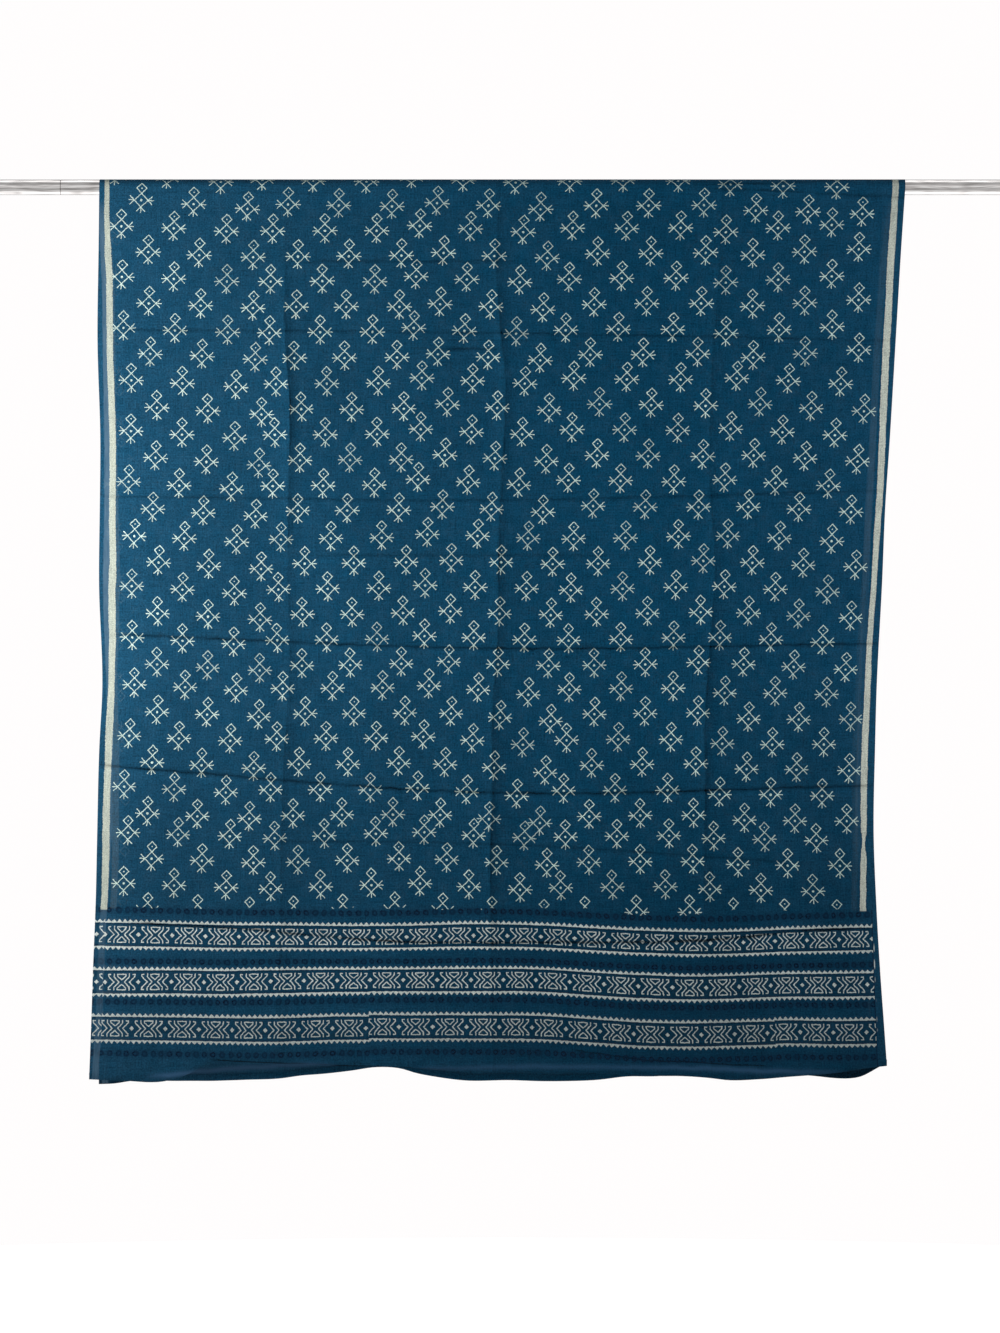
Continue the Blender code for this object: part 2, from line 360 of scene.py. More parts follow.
RING_JITTER = 0.9
RING_WOBBLE = 0.4
RING_ROUGHNESS = 0.15
RING_SOFTNESS = 1.2
RING_STRENGTH = 0.84
RING_FILL = 0.5
RING_SMUDGE = 5.0
SMUDGE_STRENGTH = 0.34
BAND_STROKE_HALF = 0.65
STRIPE_STRENGTH = 0.88
# The seam at the print's right end, and the pale line misprinted just beyond it.
SEAM_START = STRIPE_END - 5
SEAM_HALF = 0.7
SEAM_SOFTNESS = 0.6
SEAM_STRENGTH = 0.85
MISPRINT_BESIDE = 1.6
MISPRINT_HALF = 0.6
MISPRINT_AT = 1000.0
MISPRINT_REACH = 58.0
MISPRINT_FADE = 6.0
MISPRINT_STRENGTH = 0.2
# How far the noises below move and roughen the print's edges.
INK_SOFTNESS = 0.3
MOTIF_WOBBLE = 0.28
MOTIF_ROUGHNESS = 0.14
BAND_WOBBLE = 0.3
BAND_ROUGHNESS = 0.12
STRIPE_ROUGHNESS = 0.35
MOTIF_END_WOBBLE = 1.5

# ---- Unevenness of thread, dye and ink ----

SEED_STEP = 37.3
NOISE_GAIN = 3.0
CLOTH_NOISES = {
    # seed, the patches' width and height in millimetres, detail
    "sideways": (1, 3.0, 3.0, 0.0),
    "upwards": (2, 3.0, 3.0, 0.0),
    "edge": (3, 1.6, 1.6, 0.0),
    "broad": (4, 22.0, 22.0, 0.0),
    "speck": (5, 0.9, 0.9, 0.0),
    "patch": (6, 14.0, 14.0, 0.0),
    "warp": (7, 0.7, 26.0, 0.0),
    "weft": (8, 26.0, 0.7, 0.0),
    "mottle": (9, 5.0, 5.0, 2.0),
    "cloud": (10, 120.0, 90.0, 1.0),
    "fold": (11, 34.0, 34.0, 0.0),
    "grain": (13, 2.0, 2.0, 0.0),
    "slub_down": (14, 1.7, 24.0, 0.0),
    "slub_across": (15, 24.0, 1.7, 0.0),
}
# How much of each noise goes into the dye's shade, the ink's wear and the rest.
DYE_SHADES = {"warp": 0.09, "weft": 0.09, "mottle": 0.08, "cloud": 0.05, "broad": 0.03, "grain": 0.25}
DYE_SHADES |= {"slub_down": 0.09, "slub_across": 0.09}
INK_WEAR = {"speck": 0.34, "patch": 0.10, "warp": 0.10}
INK_STRENGTH = 0.92
INK_PATCHES = 0.3
RING_WEAR = {"patch": 0.10}
SMUDGE_WEAR = {"broad": 0.15, "patch": 0.12}
# How unevenly the painted show-through lies.
GHOST_UNEVENNESS = {"warp": 0.25, "patch": 0.12}
GHOST_STRENGTH = 0.85
GHOST_SOFTNESS = 1.2
THREAD_RELIEF = {"warp": 0.06, "weft": 0.06, "speck": 0.03}

# ---- Shades and colours ----

# The shade and light painted beside a crease, for each millimetre of its height: the place of the shade's
# middle to the right of or below the crease, its half width, and how much it takes away or adds.
UPRIGHT_SHADES = ((-0.4, 1.5, -0.33), (3.0, 3.6, -0.11), (8.0, 5.0, -0.05), (-8.0, 5.0, 0.03))
LEVEL_SHADES = ((0.2, 1.4, -0.30), (0.9, 3.2, -0.17), (6.3, 3.2, 0.06))
CREASE_WOBBLE = 0.7
# How much a broad noise strengthens or weakens the painted crease shade.
CREASE_SHADE_UNEVENNESS = 0.35

# Colours are linear.
GROUND = (0.0038, 0.061, 0.128)
# A lighter ground: faded patches at random, and a painted sheen that grows away from 700 mm across, most
# towards the left.
GROUND_FADE_AND_SHEEN = (0.0145, 0.078, 0.150)
LEAST_SHEEN_AT = 700.0
LEAST_FADE_AND_SHEEN = 0.05
SHEEN_SLOPE = 0.00105
RING_INK = (0.0034, 0.0145, 0.038)
PALE_INK = (0.77, 0.91, 0.84)
PALE_INK_GREEN = (0.70, 0.90, 0.81)
BAND_INK = (0.72, 0.785, 0.76)
# The ink of the last band keeps this share of the light, as painted shade.
BAND_INK_SHADE = 0.81
STRIPE_INK_LEFT = (0.62, 0.66, 0.555)
STRIPE_INK_RIGHT = (0.80, 0.82, 0.70)
# Painted shade, as shares of the light that darker parts keep, and the millimetres down or across in which
# they come in; only the bands' insides are printed darker. The last two are the widths of the hem's painted
# wrinkles and sheen.
END_SHADE = 0.87
END_SHADE_DROPS = (985.0, 1075.0)
LOW_SHADE = 0.80
LOW_SHADE_DROPS = (600.0, 880.0)
RIGHT_SHADE = 0.80
RIGHT_SHADE_BEGINS = (350.0, 700.0)
RIGHT_SHADE_EASES = (780.0, 950.0)
RIGHT_SHADE_DROPS = (850.0, 960.0)
TOP_INK_SHADE = 0.87
TOP_INK_DROPS = (0.0, 70.0)
BAND_INK_DROPS = (903.0, 913.0)
LAST_BAND_DROPS = (1000.0, 1045.0)
BAND_INSIDE_SHADE = 0.82
CORNER_SHADE = 0.40
WRINKLE_SHADE = 0.25
WRINKLE_HALF = 1.1
HEM_LIGHT_HALF = 3.4
COTTON_FINISH = {"Roughness": 0.9, "Specular IOR Level": 0.08, "Sheen Weight": 0.02, "Sheen Roughness": 0.5}
COTTON_BUMP = 0.6
TRANSLUCENCY = 0.12
SHEERNESS = 0.07
INKED_SHEERNESS = 0.3
# The rod doesn't shine through the cloth that lies on it.
SHEER_FROM_ROD = (14.0, 26.0)
# The painted show-through of the other fall's stripes, and the painted sheen along the hem.
GHOST = (0.086, 0.159, 0.238)
HEM_SHEEN = (0.044, 0.115, 0.225)

CHROME = (0.90, 0.875, 0.87)
ROD_JOINT = (0.30, 0.28, 0.28)
ROD_JOINT_AT = -552.0
ROD_JOINT_HALF = 0.5
DEEP_TO_AROUND = 0.7
CHROME_NOISES = {"streak": (21, 34.0, 0.9, 1.0), "smear": (22, 24.0, 3.5, 1.0)}
CHROME_TONES = {"streak": 0.46, "smear": 0.30}
CHROME_TONE = 0.98
CHROME_SCRATCHES = {"streak": 0.02, "smear": 0.02}
CHROME_ROUGHNESS = 0.04
LEAST_ROUGHNESS = 0.02
CHROME_RELIEF = {"streak": 0.5, "smear": 1.0}
CHROME_BUMP = 0.30
CHROME_BUMP_DEPTH = 0.0002

# The Mix node's colour sockets.
MIX_FIRST = 6
MIX_SECOND = 7
MIX_RESULT = 2

# ---- Floor, light and camera ----

FLOOR_LEVEL = -1.62
FLOOR_GLOW = 0.62
FLOOR_RADIUS = 3.0
FLOOR_SIDES = 96
FLOOR_FADE = (0.75, 2.85)
FLOOR_COLOUR = (0.80, 0.78, 0.77)
FLOOR_ROUGHNESS = 0.9
AMBIENT_IN_FRONT = (0.085, 0.093, 0.097)
AMBIENT_BEHIND = (0.86, 0.86, 0.85)
BACKDROP = (1.0, 0.985, 0.985)
SHADED_BACKDROP = (0.025, 0.045, 0.065)
BEHIND_SLOPE = 1.6
LIGHTS = (
    # name, place, aim, size, watts, colour
    ("key", (-1.12, -0.62, -0.35), (0.0, 0.0, -0.55), 0.4, 15.6, (1.0, 0.985, 0.955)),
    ("fill", (0.9, -0.95, -0.25), (0.0, 0.0, -0.55), 0.7, 5.5, (0.93, 1.0, 1.03)),
    ("bounce", (-0.1, -0.6, -1.55), (0.0, 0.0, -1.13), 0.8, 0.7, (1.0, 0.99, 0.98)),
)
SENSOR_WIDTH = 36.0
CAMERA_DISTANCE = 7.0
VIEW_HEIGHT = 1.6663
VIEW_MIDDLE = (-0.0031, -0.599)
TIER_TINT = (1.0, 0.985, 0.975)
CHROME_TIERS = (
    # degrees up from straight in front, over the top to behind, and the light that comes from there
    (-180, 0.35), (-146, 0.35), (-136, 1.3), (-84, 1.3), (-72, 0.55), (-58, 0.72), (-44, 0.42),
    (-16, 0.38), (-4, 0.7), (20, 0.74), (34, 0.4), (58, 0.32), (78, 0.42), (92, 1.4),
    (120, 1.5), (126, 0.1), (180, 0.2),
)


def smooth(at, places, values):
    """A smooth curve through a table's values, read at one place or at many."""
    slopes = np.gradient(values, places)
    at = np.clip(at, places[0], places[-1])
    i = np.clip(np.searchsorted(places, at) - 1, 0, len(places) - 2)
    width = places[i + 1] - places[i]
    t = (at - places[i]) / width
    start = (2 * t**3 - 3 * t**2 + 1) * values[i] + (t**3 - 2 * t**2 + t) * width * slopes[i]
    end = (3 * t**2 - 2 * t**3) * values[i + 1] + (t**3 - t**2) * width * slopes[i + 1]
    return start + end


def look_up(table, at, method):
    """All of a table's columns but the first, read at the given places by smooth or by np.interp."""
    return [method(at, table[:, 0], column) for column in table.T[1:]]


def ease(value, low, high):
    """0 below low, 1 above high and a smooth step between."""
    t = np.clip((value - low) / (high - low), 0, 1)
    return t * t * (3 - 2 * t)


# ---- The shape of the hanging cloth ----


def grid_places(creases, last):
    """Grid lines from 0 to last, evenly spaced, with a few more close to each crease."""
    keys = [0.0]
    for crease in creases:
        keys += [crease + offset for offset in CREASE_OFFSETS if crease + offset > 0.0]
    keys.append(last)
    places = [0.0]
    for low, high in zip(keys, keys[1:]):
        count = max(1, round((high - low) / GRID_STEP))
        places += [low + (high - low) * (k + 1) / count for k in range(count)]
    return np.array(places)


def upright_at(crease, drop):
    """Where an upright crease runs across the cloth, and how high it stands in millimetres, at each drop."""
    home, path = crease
    shift, height = look_up(np.array(path), drop, smooth)
    return home + shift, height


def level_at(crease, across):
    """The drop of a level crease, and how deep it is in millimetres, at each place across."""
    drops, height, first, last = crease
    drop = smooth(across, np.linspace(0.0, 1.0, len(drops)), np.array(drops))
    begun = ease(across, first - CREASE_END_OUTER, first + CREASE_END_INNER)
    ended = ease(across, last - CREASE_END_INNER, last + CREASE_END_OUTER)
    return drop, height * begun * (1 - ended)


def followed_creases():
    """The level creases that the grid's rows follow."""
    return [crease for crease in LEVEL_CREASES if crease[1] >= FOLLOWED_HEIGHT]


def home_drops():
    """The followed creases' drops in the middle of the cloth."""
    return [float(level_at(crease, 0.5)[0]) for crease in followed_creases()]


def column_grid(columns, drop):
    """The columns' places across at one drop, moved sideways to follow the upright creases."""
    homes = [0.0] + [crease[0] for crease in UPRIGHT_CREASES] + [1.0]
    here = [0.0] + [float(upright_at(crease, drop)[0]) for crease in UPRIGHT_CREASES] + [1.0]
    return np.interp(columns, homes, here)


def row_grid(rows, across, hem):
    """The rows' drops at one place across, moved up or down to follow the level creases and the hem."""
    homes = [0.0] + home_drops() + [HEM_HOME]
    here = [0.0] + [float(level_at(crease, across)[0]) for crease in followed_creases()]
    here.append(float(smooth(across, HEMS[:, 0], HEMS[:, hem])))
    return np.interp(rows, homes, here)


def rise(across, drop, rolls):
    """How far the soft rolls lift a fall out of the rod's plane."""
    down = drop / HEMS[:, 1].max()
    total = np.zeros_like(across)
    for at_rod, at_hem, half_width, height in rolls:
        offset = (across - at_rod - (at_hem - at_rod) * down) / half_width
        total += height * np.exp(-(offset**2))
    return total * ease(drop, ROLL_START, ROLL_FULL)


def crease_relief(across, drop, outward):
    """The creases' ridges and troughs in metres, turned over where outward is -1."""
    total = np.zeros_like(across)
    for crease in UPRIGHT_CREASES:
        place, height = upright_at(crease, drop)
        gap = np.abs(across - place) * CLOTH_WIDTH
        ridge = RIDGE_SHARE * np.exp(-gap / RIDGE_REACH)
        swell = SWELL_SHARE * np.exp(-gap / SWELL_REACH)
        total += outward * height * (ridge + swell)
    for crease in LEVEL_CREASES:
        place, height = level_at(crease, across)
        gap = np.abs(drop - place)
        total -= outward * TROUGH_SHARE * height * np.exp(-gap / TROUGH_REACH)
    return total * MILLIMETRE * ease(drop, CREASE_START, CREASE_FULL)


def waves(across, drop, seed):
    """Slow uneven waves in a fall, in metres, from a handful of broad ripples. The finer ones are lower."""
    random = np.random.default_rng(seed)
    total = np.zeros_like(across)
    for _ in range(WAVE_COUNT):
        upright = random.uniform(*WAVES_ACROSS)
        level = random.uniform(*WAVES_DOWN)
        phase = random.uniform(0, 2 * math.pi)
        size = WAVE_HEIGHT / math.hypot(upright / 3, level / 2, 1)
        total += size * np.sin(2 * math.pi * (upright * across + level * drop) + phase)
    return total * ease(drop, 0.0, WAVES_FULL)


def curl(across, drop, hem):
    """How far the last few centimetres turn in towards the other fall."""
    edge = smooth(across, HEMS[:, 0], HEMS[:, hem])
    amount = smooth(across, CURLS[:, 0], CURLS[:, hem])
    return amount * ease(drop, edge - CURL_ABOVE, edge + CURL_BELOW)


def stand_off(across, drop, side):
    """How far a fall's surface stands from the rod's plane. A ridge of the front fall is a trough behind."""
    rolls, seed = (FRONT_ROLLS, FRONT_SEED) if side < 0 else (BACK_ROLLS, BACK_SEED)
    creases = crease_relief(across, drop, -side)
    return radius + rise(across, drop, rolls) + creases + waves(across, drop, seed)


def fall_points(across, drop, side):
    """Points of the cloth in a fall. side is -1 for the front fall and 1 for the back."""
    left, right, hem = (1, 2, 1) if side < 0 else (3, 4, 2)
    low = smooth(drop, SELVEDGES[:, 0], SELVEDGES[:, left])
    high = smooth(drop, SELVEDGES[:, 0], SELVEDGES[:, right])
    depth = stand_off(across, drop, side) - curl(across, drop, hem)
    return np.stack([low + across * (high - low), side * depth, -drop], axis=-1)


def turn_points(across, angle):
    """Points of the cloth where it goes over the rod. The angle runs from 0 in front to pi behind."""
    share = angle / math.pi
    nothing = np.zeros_like(across)
    reach = stand_off(across, nothing, -1) * (1 - share) + stand_off(across, nothing, 1) * share
    left, right = SELVEDGES[0, 1], SELVEDGES[0, 2]
    return np.stack([left + across * (right - left), -reach * np.cos(angle), reach * np.sin(angle)], axis=-1)


# ---- Where each point of the cloth lies in the print ----


def block_places():
    """Every setting of the motif block: its column, its row, its first motif's place, its tilt and lean."""
    places = []
    for row, line in enumerate(BLOCKS):
        places += [(column, row, *place) for column, place in enumerate(line)]
    random = np.random.default_rng(BACK_BLOCK_SEED)
    for row in range(1, BACK_BLOCK_ROWS + 1):
        for column, (across, down, _, _) in enumerate(BLOCKS[0]):
            shift = random.uniform(-1, 1, 4) * BACK_SCATTER
            place = (across + shift[0], down - BLOCK_PITCH * row + shift[1], shift[2], shift[3])
            places.append((column, -row, *place))
    return places


def motif_places(parity):
    """The motifs of every second block, like the black squares of a chessboard: places, turns and ink."""
    random = np.random.default_rng(MOTIF_SEED + parity)
    motifs = []
    for column, row, across, down, tilt, lean in block_places():
        if (column + row) % 2 != parity:
            continue
        for line in range(BLOCK_ROWS):
            for step in BLOCK_ODD_COLUMNS if line % 2 else BLOCK_COLUMNS:
                x = step * BLOCK_STRETCH[column]
                y = line * ROW_PITCH
                x, y = x + y * math.tan(math.radians(lean)), y + x * math.tan(math.radians(tilt))
                x += across + random.uniform(-MOTIF_SCATTER, MOTIF_SCATTER)
                y += down + random.uniform(-MOTIF_SCATTER, MOTIF_SCATTER)
                turn = math.radians(0.5 * tilt + random.uniform(-MOTIF_TURN, MOTIF_TURN))
                motifs.append((x, y, turn, 1.0 - MOST_INK_LOST * random.random() ** 4))
    return np.array(motifs)


def motif_field(corners, parity):
    """For each corner of each face, its place in the motif nearest to the face, and that motif's ink."""
    motifs = motif_places(parity)
    middle = corners.mean(axis=1)
    nearest = np.zeros(len(middle), int)
    for start in range(0, len(middle), FACES_AT_ONCE):
        part = middle[start : start + FACES_AT_ONCE, None, :]
        sideways = np.abs(part[:, :, 0] - motifs[None, :, 0])
        up_or_down = np.abs(part[:, :, 1] + MOTIF_MIDDLE - motifs[None, :, 1])
        nearest[start : start + FACES_AT_ONCE] = (sideways + up_or_down).argmin(axis=1)
    chosen = motifs[nearest]
    x = corners[:, :, 0] - chosen[:, None, 0]
    y = corners[:, :, 1] - chosen[:, None, 1]
    turn = chosen[:, None, 2]
    ink = np.broadcast_to(chosen[:, None, 3], x.shape)
    turned = (x * np.cos(turn) + y * np.sin(turn), y * np.cos(turn) - x * np.sin(turn))
    return np.stack([*turned, ink], axis=-1)


def from_end(flat):
    """The drop in millimetres at which a flat place hangs, in either fall. It is below zero over the rod."""
    return np.where(flat > -TURN_ARC / 2, flat, -TURN_ARC - flat)


def band_field(corners):
    """For each corner, its place along and down the bands, and how far it is inside the print's end."""
    across, drop = corners[:, :, 0], from_end(corners[:, :, 1])
    *dips, first_slip, second_slip, third_slip = look_up(BANDS, across / 1000, smooth)
    first = np.clip((drop - BAND_CENTRES[0]) / (BAND_CENTRES[1] - BAND_CENTRES[0]), 0, 1)
    second = np.clip((drop - BAND_CENTRES[1]) / (BAND_CENTRES[2] - BAND_CENTRES[1]), 0, 1)
    dip = dips[0] + (dips[1] - dips[0]) * first + (dips[2] - dips[1]) * second
    middle = corners.mean(axis=1)
    block = np.floor((middle[:, 0] - BAND_FIRST_JOIN) / BAND_BLOCK).astype(int) + 1
    band = np.searchsorted(BAND_PARTINGS, (drop - dip).mean(axis=1))
    slip = np.choose(band[:, None], (first_slip, second_slip, third_slip))
    random = np.random.default_rng(BAND_SEED)
    shifts = random.uniform(-BAND_SCATTER, BAND_SCATTER, (BAND_SETTINGS, len(BAND_CENTRES)))
    shift = shifts[block.clip(0, BAND_SETTINGS - 1), band]
    for jogged, place, step in BAND_JOGS:
        fade = np.clip(1 - np.abs(across - place) / JOG_REACH, 0, 1) * (band == jogged)[:, None]
        dip = dip + fade * np.where(middle[:, 0] < place, step / 2, -step / 2)[:, None]
    slip = slip + FIRST_SLIP * (middle[:, 0] < BAND_FIRST_JOIN)[:, None]
    margin = BAND_MARGIN + BAND_MARGIN_SLOPE * (drop - BAND_MARGIN_FROM)
    return np.stack([across + slip, drop - dip + shift[:, None], 1000 - across - margin], axis=-1)


def stripe_field(points):
    """For each point, its distance from each stripe's middle, and from the end of the motifs."""
    across, drop = points[:, 0], from_end(points[:, 1])
    behind = points[:, 1] < -TURN_ARC / 2
    left, right, left_half, right_half = look_up(STRIPES, drop, np.interp)
    left = left + BACK_STRIPE_SHIFT * behind
    right = right - BACK_STRIPE_SHIFT * behind
    low, high, end = MISPLACED_BLOCK
    misplaced = ease(across, low - MISPLACED_FADE, low) * (1 - ease(across, high, high + MISPLACED_FADE))
    cut = MOTIF_END + END_SLOPE * (across / 1000)
    cut = cut + (end - MOTIF_END - END_SLOPE) * misplaced * ~behind
    pinch = 1 + RIGHT_PINCH * np.exp(-(((drop - RIGHT_PINCH_AT) / RIGHT_PINCH_REACH) ** 2)) * ~behind
    from_left = (across - left) * STRIPE_HALF / left_half
    from_right = (1000 - across - right) * pinch * STRIPE_HALF / right_half
    return np.stack([from_left, from_right, drop - cut], axis=-1)


def ghost_field(points):
    """For each point, how far it is from the nearer side's painted show-through stripe, and that ghost's
    strength.
    """
    across, drop = points[:, 0], from_end(points[:, 1])
    left, left_strength, right, right_strength = look_up(GHOSTS, drop, np.interp)
    gap = np.where(across < 500, across - left, 1000 - across - right)
    strength = np.where(across < 500, left_strength, right_strength)
    return np.stack([gap, strength, np.zeros(len(points))], axis=-1)


def hem_fields(points):
    """For each point, how far below the hem's painted sheen streaks it is, their strength, and how far it
    lies in a corner's painted shadow. Then the same for the wrinkles' painted shade."""
    across, drop = points[:, 0], from_end(points[:, 1])
    behind = points[:, 1] < -TURN_ARC / 2
    corner = np.zeros(len(points))
    for (begins, full), (top, below) in SHADOWED_CORNERS:
        side = ease(across, begins, full) if full > begins else 1 - ease(across, full, begins)
        corner = np.maximum(corner, side * ease(drop, top, below) * behind)
    fields = []
    for table in (HEM_LIGHTS, HEM_WRINKLES):
        place, strength = look_up(table, across / 1000, np.interp)
        fields.append(np.stack([drop - place, strength, corner], axis=-1))
    return fields


def crease_fields(points):
    """For each point, the nearest upright crease and the nearest level one: distance and height in mm."""
    across, drop = points[:, 0] / 1000, np.abs(from_end(points[:, 1])) / 1000
    uprights = [upright_at(crease, drop) for crease in UPRIGHT_CREASES]
    levels = [level_at(crease, across) for crease in LEVEL_CREASES]
    fields = []
    for place, creases in ((across, uprights), (drop, levels)):
        gaps = np.array([place - crease for crease, _ in creases]) * 1000
        heights = np.array([height for _, height in creases])
        nearest = np.abs(gaps).argmin(axis=0), np.arange(len(points))
        fields.append(np.stack([gaps[nearest], heights[nearest], np.zeros(len(points))], axis=-1))
    return fields


# ---- The cloth's mesh ----


def fall_grid(columns, rows, hem, side):
    """One fall's points and flat places, row by row from the rod down to the turned edge of the hem."""
    drops = np.empty((len(rows), len(columns)))
    across = np.empty_like(drops)
    for row, home in enumerate(rows):
        across[row] = column_grid(columns, home)
    for column in range(len(columns)):
        drops[:, column] = row_grid(rows, across[len(rows) // 2, column], hem)
    points = fall_points(across, drops, side)
    flat = np.stack([across * 1000, drops * 1000, np.zeros_like(drops)], axis=-1)
    folds, flats = [points], [flat]
    for inward, up in HEM_TURN:
        folds.append(points[-1:] + np.array((0.0, -side * inward, up)))
        flats.append(flat[-1:] + np.array((0.0, 1000 * (inward + up), 0.0)))
    return np.concatenate(folds), np.concatenate(flats)


def cloth_grid():
    """The cloth's points and flat places, row by row from the front hem to the back one."""
    columns = grid_places([crease[0] for crease in UPRIGHT_CREASES], 1.0)
    rows = grid_places(home_drops(), HEM_HOME)
    front, front_flat = fall_grid(columns, rows, 1, -1)
    back, back_flat = fall_grid(columns, rows, 2, 1)
    back_flat[:, :, 1] = -TURN_ARC - back_flat[:, :, 1]
    across = column_grid(columns, 0.0)
    turn, turn_flat = [], []
    for share in np.arange(1, TURN_STEPS) / TURN_STEPS:
        turn.append(turn_points(across, math.pi * share))
        turn_flat.append(np.stack([across * 1000, 0 * across - TURN_ARC * share, 0 * across], axis=-1))
    points = np.concatenate([front[::-1], turn, back])
    return points, np.concatenate([front_flat[::-1], turn_flat, back_flat])


def add_object(name, data):
    """A new object in the scene."""
    obj = bpy.data.objects.new(name, data)
    bpy.context.scene.collection.objects.link(obj)
    return obj


def make_cloth(material):
    """The dupatta: one thin sheet from hem to hem, which carries its own places in the print."""
    points, flats = cloth_grid()
    rows, columns, _ = points.shape
    index = np.arange(rows * columns).reshape(rows, columns)
    around = (index[:-1, :-1], index[:-1, 1:], index[1:, 1:], index[1:, :-1])
    faces = np.stack(around, axis=-1).reshape(-1, 4)
    mesh = bpy.data.meshes.new("dupatta_cloth")
    mesh.from_pydata(points.reshape(-1, 3).tolist(), [], faces.tolist())
    mesh.shade_smooth()
    flat = flats.reshape(-1, 3)
    corners = flat[faces][:, :, :2]
    layout = mesh.uv_layers.new(name="flat_cloth")
    uv = corners / 1000 / (CLOTH_WIDTH, CLOTH_LENGTH) + (0.0, BACK_SHARE)
    layout.uv.foreach_set("vector", uv.astype(np.float32).ravel())
    at_points = {"cloth": flat, "stripes": stripe_field(flat), "ghosts": ghost_field(flat)}
    at_points["hem_light"], at_points["hem_dark"] = hem_fields(flat)
    at_points["upright_crease"], at_points["level_crease"] = crease_fields(flat)
    at_corners = {"motif_even": motif_field(corners, 0), "motif_odd": motif_field(corners, 1)}
    at_corners["bands"] = band_field(corners)
    for domain, fields in (("POINT", at_points), ("CORNER", at_corners)):
        for name, values in fields.items():
            attribute = mesh.attributes.new(name, "FLOAT_VECTOR", domain)
            attribute.data.foreach_set("vector", values.astype(np.float32).ravel())
    mesh.materials.append(material)
    return add_object("dupatta_cloth", mesh)


# ---- Shader arithmetic ----


def set_inputs(node, inputs):
    """Links each named or numbered input of a node to a field or socket, or sets it to a value."""
    for name, value in inputs.items():
        if isinstance(value, Field):
            value = value.socket
        if isinstance(value, bpy.types.NodeSocket):
            node.id_data.links.new(value, node.inputs[name])
        else:
            node.inputs[name].default_value = value


def add_node(tree, kind, inputs, **settings):
    """A new shader node with its settings made and its inputs linked or set."""
    node = tree.nodes.new("ShaderNode" + kind)
    for name, value in settings.items():
        setattr(node, name, value)
    set_inputs(node, inputs)
    return node


def new_material(name):
    """A material, its node tree and its shader."""
    material = bpy.data.materials.new(name)
    material.use_nodes = True
    return material, material.node_tree, material.node_tree.nodes["Principled BSDF"]


class Field:
    """A number that shader nodes work out for each point, written as ordinary arithmetic."""

    def __init__(self, tree, socket):
        self.tree = tree
        self.socket = socket

    def math(self, operation, *others, clamp=False):
        """A Math node with this field as its first input."""
        inputs = dict(enumerate((self, *others)))
        node = add_node(self.tree, "Math", inputs, operation=operation, use_clamp=clamp)
        return Field(self.tree, node.outputs["Value"])

    __add__ = partialmethod(math, "ADD")
    __sub__ = partialmethod(math, "SUBTRACT")
    __mul__ = partialmethod(math, "MULTIPLY")
    __truediv__ = partialmethod(math, "DIVIDE")
    __abs__ = partialmethod(math, "ABSOLUTE")
    least = partialmethod(math, "MINIMUM")
    most = partialmethod(math, "MAXIMUM")
    # 1 above the edge and 0 below it.
    above = partialmethod(math, "GREATER_THAN")
    # The remainder after whole periods, from 0 up to the period.
    wrap = partialmethod(math, "FLOORED_MODULO")
    # This field, held between 0 and 1.
    clamped = partialmethod(math, "ADD", 0.0, clamp=True)

    def inside(self, softness):
        """1 below zero and 0 above it, with a short ramp between."""
        return (self * (-1 / softness)).math("ADD", 0.5, clamp=True)

    def ramp(self, low, high):
        """A straight ramp from 0 at low to 1 at high."""
        return ((self - low) * (1 / (high - low))).clamped()

    def toward(self, end):
        """1 where this field is 0, and the end value where it is 1."""
        return self * (end - 1.0) + 1.0

    def length_with(self, other):
        """The length of the flat vector made of this field and another."""
        return (self * self + other * other).math("SQRT")

    def bell(self, width):
        """1 at zero, falling off smoothly on both sides."""
        return (self * self * (-1 / (width * width))).math("EXPONENT")


def split_vector(tree, socket):
    """The three numbers of a vector."""
    split = add_node(tree, "SeparateXYZ", {"Vector": socket})
    return [Field(tree, split.outputs[axis]) for axis in "XYZ"]


def read(tree, name):
    """The three numbers of one of the mesh's named vectors."""
    return split_vector(tree, add_node(tree, "Attribute", {}, attribute_name=name).outputs["Vector"])


def coordinates(tree, kind):
    """The three numbers of a point's place, in one of the Texture Coordinate node's kinds."""
    return split_vector(tree, add_node(tree, "TexCoord", {}).outputs[kind])


def light_path(tree, output):
    """What the Light Path node says of the ray."""
    return Field(tree, add_node(tree, "LightPath", {}).outputs[output])


def noise(tree, across, down, seed, width, height, detail):
    """Smooth noise from about -1 to 1, with patches of the given width and height in millimetres."""
    place = {"X": across * (1 / width) + SEED_STEP * seed, "Y": down * (1 / height)}
    place = add_node(tree, "CombineXYZ", place).outputs["Vector"]
    inputs = {"Vector": place, "Scale": 1.0, "Detail": detail}
    texture = add_node(tree, "TexNoise", inputs, noise_dimensions="2D")
    return (Field(tree, texture.outputs["Fac"]) - 0.5) * NOISE_GAIN


def unevenly(uneven, amounts, level):
    """A level plus so much of each named noise."""
    parts = [uneven[name] * amount for name, amount in amounts.items()]
    return sum(parts[1:], parts[0]) + level


def to_segment(x, y, start, end):
    """The distance from a place to a straight stroke's centre line."""
    run, fall = end[0] - start[0], end[1] - start[1]
    size = run * run + fall * fall
    from_x, from_y = x - start[0], y - start[1]
    share = (from_x * (run / size) + from_y * (fall / size)).clamped()
    return (from_x - share * run).length_with(from_y - share * fall)


def blend(tree, factor, first, second):
    """One colour fading into another."""
    first, second = [(*colour, 1.0) if isinstance(colour, tuple) else colour for colour in (first, second)]
    inputs = {"Factor": factor, MIX_FIRST: first, MIX_SECOND: second}
    return add_node(tree, "Mix", inputs, data_type="RGBA").outputs[MIX_RESULT]


